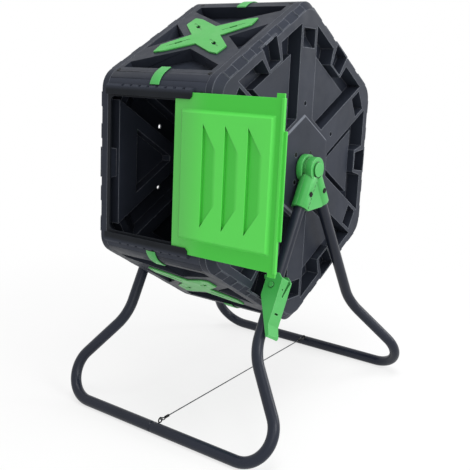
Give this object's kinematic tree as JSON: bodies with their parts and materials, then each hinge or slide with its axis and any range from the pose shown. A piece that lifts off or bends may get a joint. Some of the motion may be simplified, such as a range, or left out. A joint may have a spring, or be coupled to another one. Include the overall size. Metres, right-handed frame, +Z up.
{
  "type": "tumbling compost bin",
  "caption": "Six-sided tumbling compost bin on a bent-tube stand, with a sliding door, a drum that turns on its axle and a lever that locks it.",
  "frame": {"origin": "on the ground, straight below the middle of the drum's axle", "axes": "+X along the drum's axle to the right, -Y to the front where the door is, +Z up"},
  "size_m": [0.6107, 0.6563, 0.9208],
  "materials": {
    "slate_plastic": "moulded, fine grain",
    "green_plastic": "moulded, satin",
    "pale_green_plastic": "moulded, satin",
    "powder_coated_tube": "powder coat, satin",
    "zinc_plated_steel": "zinc plated",
    "black_steel": "black zinc",
    "steel_cable": "dark wire",
    "bush_plastic": "natural white"
  },
  "bodies": {
    "stand": {"front_right_tube": "powder_coated_tube", "front_left_tube": "powder_coated_tube", "rear_right_tube": "powder_coated_tube", "rear_left_tube": "powder_coated_tube", "right_inner_bracket": "green_plastic", "right_outer_bracket": "green_plastic", "left_inner_bracket": "green_plastic", "left_outer_bracket": "green_plastic", "right_bush": "bush_plastic", "left_bush": "bush_plastic", "right_axle_cap": "pale_green_plastic", "left_axle_cap": "pale_green_plastic", "right_bracket_bolts": "black_steel", "left_bracket_bolts": "black_steel", "right_bracket_nuts": "black_steel", "left_bracket_nuts": "black_steel", "spreader_cable": "steel_cable", "cable_ferrules": "black_steel", "front_cable_eye": "black_steel", "rear_cable_eye": "black_steel", "lever_pin": "green_plastic", "lever_pin_clip": "zinc_plated_steel"},
    "drum": {"right_end_panel": "slate_plastic", "left_end_panel": "slate_plastic", "front_panel": "slate_plastic", "top_front_panel": "slate_plastic", "top_rear_panel": "slate_plastic", "rear_panel": "slate_plastic", "bottom_rear_panel": "slate_plastic", "bottom_front_panel": "slate_plastic", "top_cross_plate": "pale_green_plastic", "bottom_cross_plate": "pale_green_plastic", "corner_clips": "green_plastic", "upper_door_rail": "slate_plastic", "lower_door_rail": "slate_plastic", "rail_screws": "black_steel", "right_panel_screws": "black_steel", "left_panel_screws": "black_steel", "right_axle": "zinc_plated_steel", "left_axle": "zinc_plated_steel", "right_axle_screws": "black_steel", "left_axle_screws": "black_steel"},
    "door": {"sliding_door": "green_plastic"},
    "lever": {"brake_lever": "green_plastic"}
  },
  "joints": [
    {"name": "drum_turn", "type": "hinge", "parent": "stand", "child": "drum", "pos_m": [0, 0, 0.5657], "axis": [1, 0, 0], "range_deg": [-180, 20]},
    {"name": "door_slide", "type": "slide", "parent": "drum", "child": "door", "axis": [1, 0, 0], "range_m": [-0.187, 0]},
    {"name": "lever_swing", "type": "hinge", "parent": "stand", "child": "lever", "pos_m": [0.184, -0.13374, 0.33027], "axis": [0, -0.8695, 0.4939], "range_deg": [0, 13]}
  ]
}
